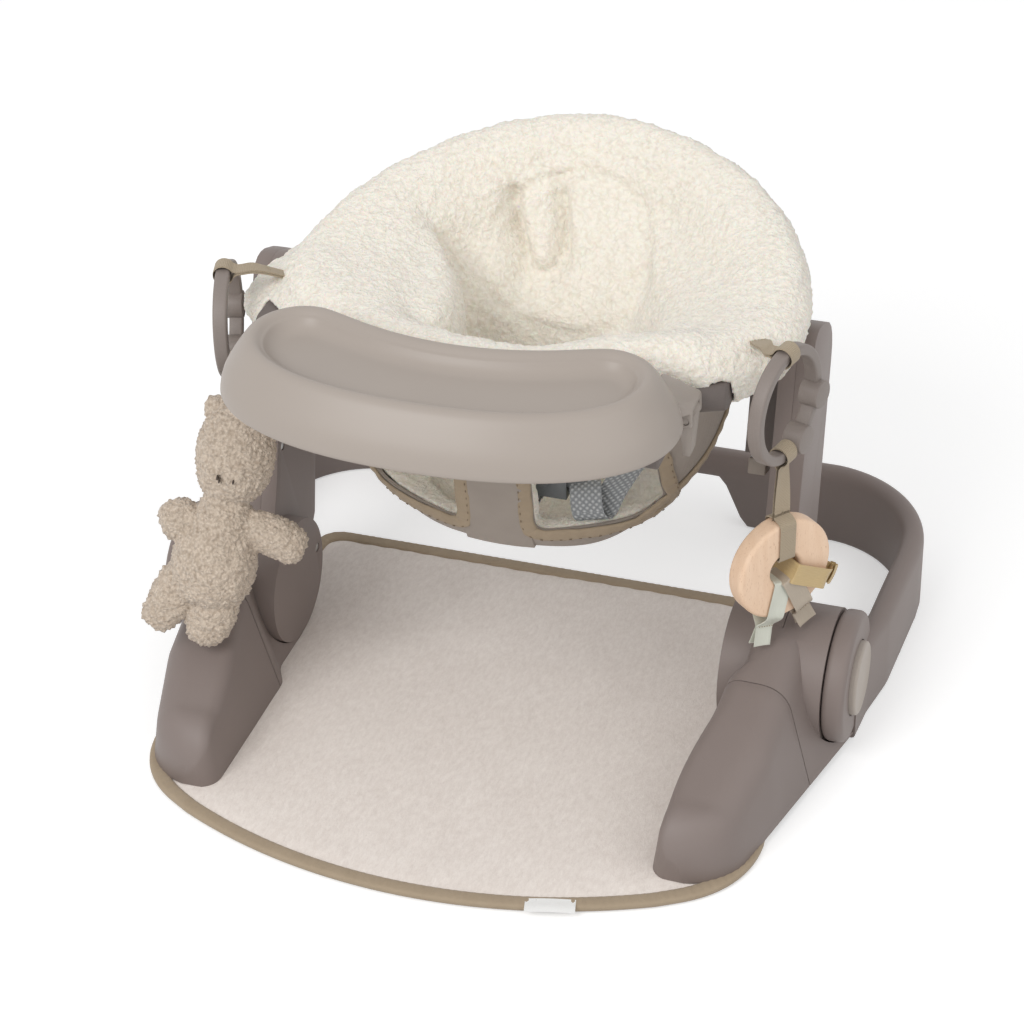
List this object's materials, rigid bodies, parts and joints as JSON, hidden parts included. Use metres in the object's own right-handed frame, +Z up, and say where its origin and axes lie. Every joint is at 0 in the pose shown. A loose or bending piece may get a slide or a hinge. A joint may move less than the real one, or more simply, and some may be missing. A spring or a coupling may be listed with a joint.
{
  "type": "baby floor seat",
  "caption": "Low folding floor seat for a baby with a plush bucket, harness, sliding tray, soft floor mat, and hanging teddy and wooden ring toys.",
  "frame": {"origin": "on the floor, midway between the two hubs, under the hub line", "axes": "+X towards the sitting baby's left hand, -Y towards the front of the mat, +Z up"},
  "size_m": [0.544, 0.508, 0.367],
  "materials": {
    "mat_fabric": "brushed, short nap",
    "edge_binding": "folded and stitched binding",
    "label_fabric": "smooth woven, blank",
    "taupe_plastic": "fine spark-eroded texture",
    "dark_plastic": "fine texture",
    "steel": "zinc plated",
    "rubber_pads": "matt",
    "pale_plastic": "fine texture",
    "tray_plastic": "satin moulded",
    "ring_tube": "satin powder coat",
    "sling_fabric": "plain weave",
    "plush_pile": "curly long pile",
    "webbing": "woven webbing",
    "buckle_plastic": "moulded",
    "toy_webbing": "flat tape",
    "link_plastic": "satin moulded",
    "teddy_pile": "curly pile",
    "beech": "sanded, waxed",
    "ribbon_mint_satin": "satin ribbon",
    "ribbon_taupe_satin": "satin ribbon",
    "ribbon_gold_satin": "satin ribbon"
  },
  "bodies": {
    "base": {"mat_pad": "mat_fabric", "mat_binding": "edge_binding", "mat_label": "label_fabric", "foot_left": "taupe_plastic", "foot_right": "taupe_plastic", "foot_nose_left": "taupe_plastic", "foot_nose_right": "taupe_plastic", "base_covers": "dark_plastic", "base_screws": "steel", "hub_axles": "steel"},
    "rear_frame": {"rear_loop": "taupe_plastic", "loop_pads": "rubber_pads"},
    "hub_button_l": {"hub_button_left": "pale_plastic"},
    "hub_button_r": {"hub_button_right": "pale_plastic"},
    "uprights": {"upright_outer_left": "taupe_plastic", "upright_outer_right": "taupe_plastic", "upright_inner_left": "taupe_plastic", "upright_inner_right": "taupe_plastic", "upright_screws": "steel"},
    "seat": {"seat_ring": "ring_tube", "carriage_left": "dark_plastic", "carriage_right": "dark_plastic", "seat_bucket": "sling_fabric", "plush_cover": "plush_pile", "leg_bindings": "edge_binding", "crotch_panel": "sling_fabric", "waist_strap_left": "webbing", "waist_strap_right": "webbing", "crotch_strap": "webbing", "buckle_body": "buckle_plastic", "buckle_tongue_left": "buckle_plastic", "buckle_tongue_right": "buckle_plastic", "tray_arm_left": "dark_plastic", "tray_arm_right": "dark_plastic", "toy_strap_left": "toy_webbing", "toy_strap_right": "toy_webbing"},
    "latch_l": {"height_latch_left": "pale_plastic"},
    "latch_r": {"height_latch_right": "pale_plastic"},
    "harness_button": {"buckle_button": "buckle_plastic"},
    "tray": {"tray_top": "tray_plastic"},
    "clip_l": {"tray_clip_left": "tray_plastic"},
    "clip_r": {"tray_clip_right": "tray_plastic"},
    "link_l": {"link_ring_left": "link_plastic"},
    "link_r": {"link_ring_right": "link_plastic"},
    "teddy": {"teddy_tape": "toy_webbing", "teddy_head": "teddy_pile", "teddy_ears": "teddy_pile", "teddy_body": "teddy_pile", "teddy_arm_left": "teddy_pile", "teddy_arm_right": "teddy_pile", "teddy_leg_left": "teddy_pile", "teddy_leg_right": "teddy_pile"},
    "wood_toy": {"toy_tape": "toy_webbing", "wooden_ring": "beech", "ribbon_mint": "ribbon_mint_satin", "ribbon_taupe": "ribbon_taupe_satin", "ribbon_gold": "ribbon_gold_satin"}
  },
  "joints": [
    {"name": "rear_frame_fold", "type": "hinge", "parent": "base", "child": "rear_frame", "pos_m": [0, 0, 0.0545], "axis": [1, 0, 0], "range_deg": [0, 30]},
    {"name": "uprights_fold", "type": "hinge", "parent": "base", "child": "uprights", "pos_m": [0, 0, 0.0545], "axis": [1, 0, 0], "range_deg": [-38, 0]},
    {"name": "seat_height", "type": "slide", "parent": "uprights", "child": "seat", "axis": [0, 0.2588, 0.9659], "range_m": [0, 0.03]},
    {"name": "hub_button_left_push", "type": "slide", "parent": "rear_frame", "child": "hub_button_l", "axis": [1, 0, 0], "range_m": [0, 0.004], "stiffness_N_per_m": 400},
    {"name": "hub_button_right_push", "type": "slide", "parent": "rear_frame", "child": "hub_button_r", "axis": [-1, 0, 0], "range_m": [0, 0.004], "stiffness_N_per_m": 400},
    {"name": "height_latch_left_lift", "type": "slide", "parent": "seat", "child": "latch_l", "axis": [0, 0.2588, 0.9659], "range_m": [0, 0.004], "stiffness_N_per_m": 300},
    {"name": "height_latch_right_lift", "type": "slide", "parent": "seat", "child": "latch_r", "axis": [0, 0.2588, 0.9659], "range_m": [0, 0.004], "stiffness_N_per_m": 300},
    {"name": "harness_button_push", "type": "slide", "parent": "seat", "child": "harness_button", "axis": [0, 1, 0], "range_m": [0, 0.003], "stiffness_N_per_m": 300},
    {"name": "tray_slide", "type": "slide", "parent": "seat", "child": "tray", "axis": [0, -1, 0], "range_m": [0, 0.05]},
    {"name": "tray_clip_left_open", "type": "hinge", "parent": "tray", "child": "clip_l", "pos_m": [-0.151, -0.064, 0.296], "axis": [0, 1, 0], "range_deg": [0, 12], "stiffness_Nm_per_rad": 0.6},
    {"name": "tray_clip_right_open", "type": "hinge", "parent": "tray", "child": "clip_r", "pos_m": [0.151, -0.064, 0.296], "axis": [0, 1, 0], "range_deg": [-12, 0], "stiffness_Nm_per_rad": 0.6},
    {"name": "link_left_swing", "type": "hinge", "parent": "seat", "child": "link_l", "pos_m": [-0.197, -0.016, 0.323], "axis": [0.2756, -0.9613, 0], "range_deg": [-25, 1]},
    {"name": "link_right_swing", "type": "hinge", "parent": "seat", "child": "link_r", "pos_m": [0.2065, -0.032, 0.33], "axis": [0.2756, 0.9613, 0], "range_deg": [-25, 1]},
    {"name": "teddy_swing", "type": "hinge", "parent": "link_l", "child": "teddy", "pos_m": [-0.197, -0.016, 0.247], "axis": [0.2756, -0.9613, 0], "range_deg": [-20, 5]},
    {"name": "wood_toy_swing", "type": "hinge", "parent": "link_r", "child": "wood_toy", "pos_m": [0.2065, -0.032, 0.254], "axis": [0.2756, 0.9613, 0], "range_deg": [-20, 2]}
  ],
  "couplings": [
    {"joint": "height_latch_right_lift", "follows": "height_latch_left_lift", "ratio": 1}
  ]
}
